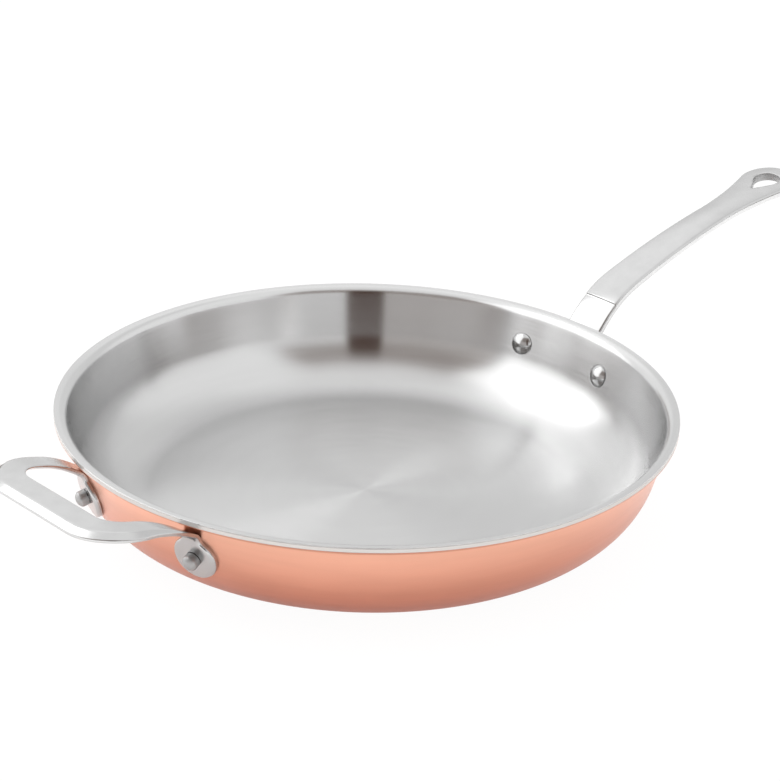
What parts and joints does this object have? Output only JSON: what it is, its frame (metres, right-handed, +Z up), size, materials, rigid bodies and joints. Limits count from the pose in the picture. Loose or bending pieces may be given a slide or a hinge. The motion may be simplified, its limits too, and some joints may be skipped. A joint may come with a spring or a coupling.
{
  "type": "frying pan",
  "caption": "Round frying pan with flared lip, sloping wall, long arched handle with hanging hole and opposite loop helper handle, both riveted.",
  "frame": {"origin": "centre of the base, on the surface that the pan stands on", "axes": "+Z up, +X along the long handle away from the pan, -X towards the helper handle"},
  "size_m": [0.5454, 0.32, 0.1074],
  "materials": {
    "lining_steel": "satin brushed stainless steel, brushed round the pan",
    "core_aluminium": "bare aluminium, seen only at the cut edge of the lip",
    "copper": "satin brushed copper, brushed round the pan",
    "handle_steel": "polished cast stainless steel",
    "rivet_steel": "polished stainless steel"
  },
  "bodies": {
    "root": {"steel_lining": "lining_steel", "aluminium_core": "core_aluminium", "copper_shell": "copper", "long_handle": "handle_steel", "helper_handle": "handle_steel", "handle_rivet_left": "rivet_steel", "handle_rivet_right": "rivet_steel", "helper_rivet_left": "rivet_steel", "helper_rivet_right": "rivet_steel"}
  },
  "joints": []
}
